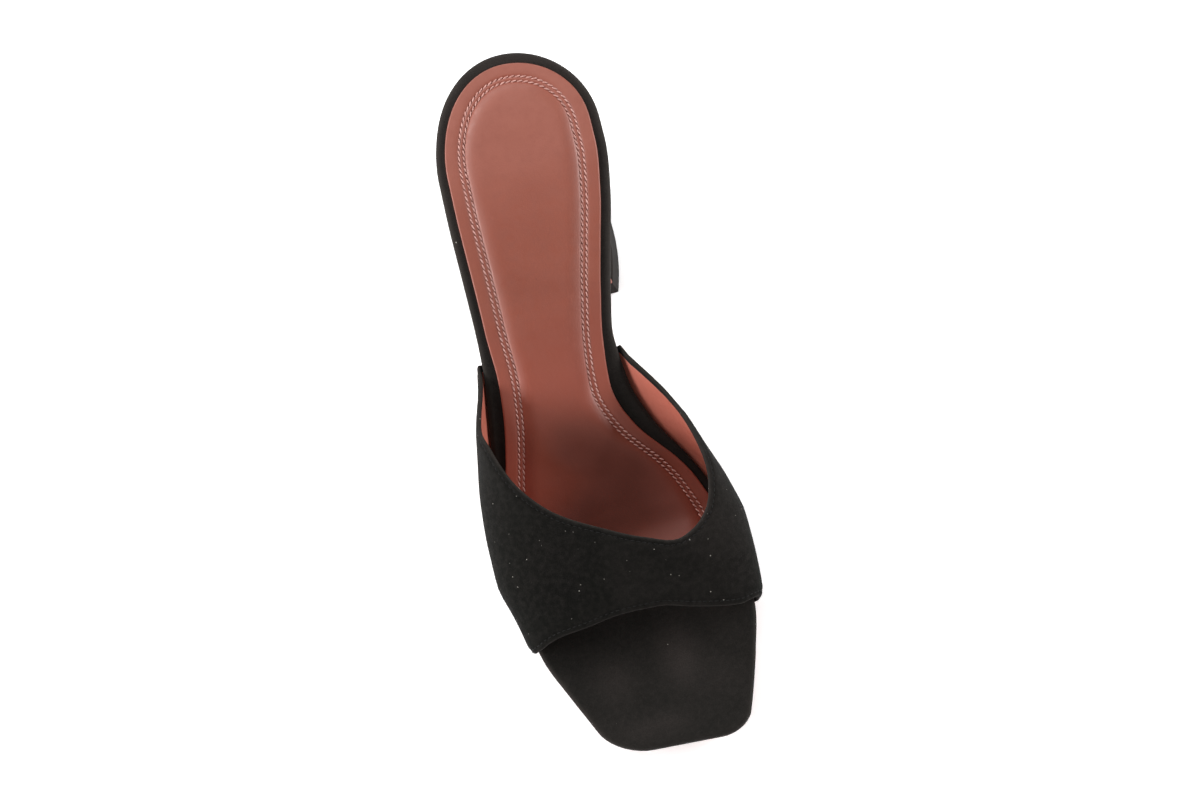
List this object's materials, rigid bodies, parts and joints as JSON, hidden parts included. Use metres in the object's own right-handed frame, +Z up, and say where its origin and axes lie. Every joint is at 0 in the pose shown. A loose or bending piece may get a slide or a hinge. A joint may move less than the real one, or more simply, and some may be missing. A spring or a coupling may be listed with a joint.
{
  "type": "mule shoe",
  "caption": "Open-toe mule for the right foot, about EU 37, with a soft suede vamp, a padded leather footbed and a flared block heel.",
  "frame": {"origin": "on the floor, on the contact face of the heel's top piece", "axes": "+X towards the inner side of the foot, +Y towards the back of the heel, so -Y is towards the toe, +Z up from the floor"},
  "size_m": [0.0897, 0.2417, 0.064],
  "materials": {
    "suede": "matt black suede with a soft nap",
    "sock": "dusty rose leather, softly polished, with light stitches",
    "sole": "rose tan sole leather, satin",
    "rubber": "matt black rubber"
  },
  "bodies": {
    "root": {"outsole": "sole", "heel": "suede", "top_piece": "rubber", "footbed": "suede", "insock": "sock", "upper": "suede"}
  },
  "joints": []
}
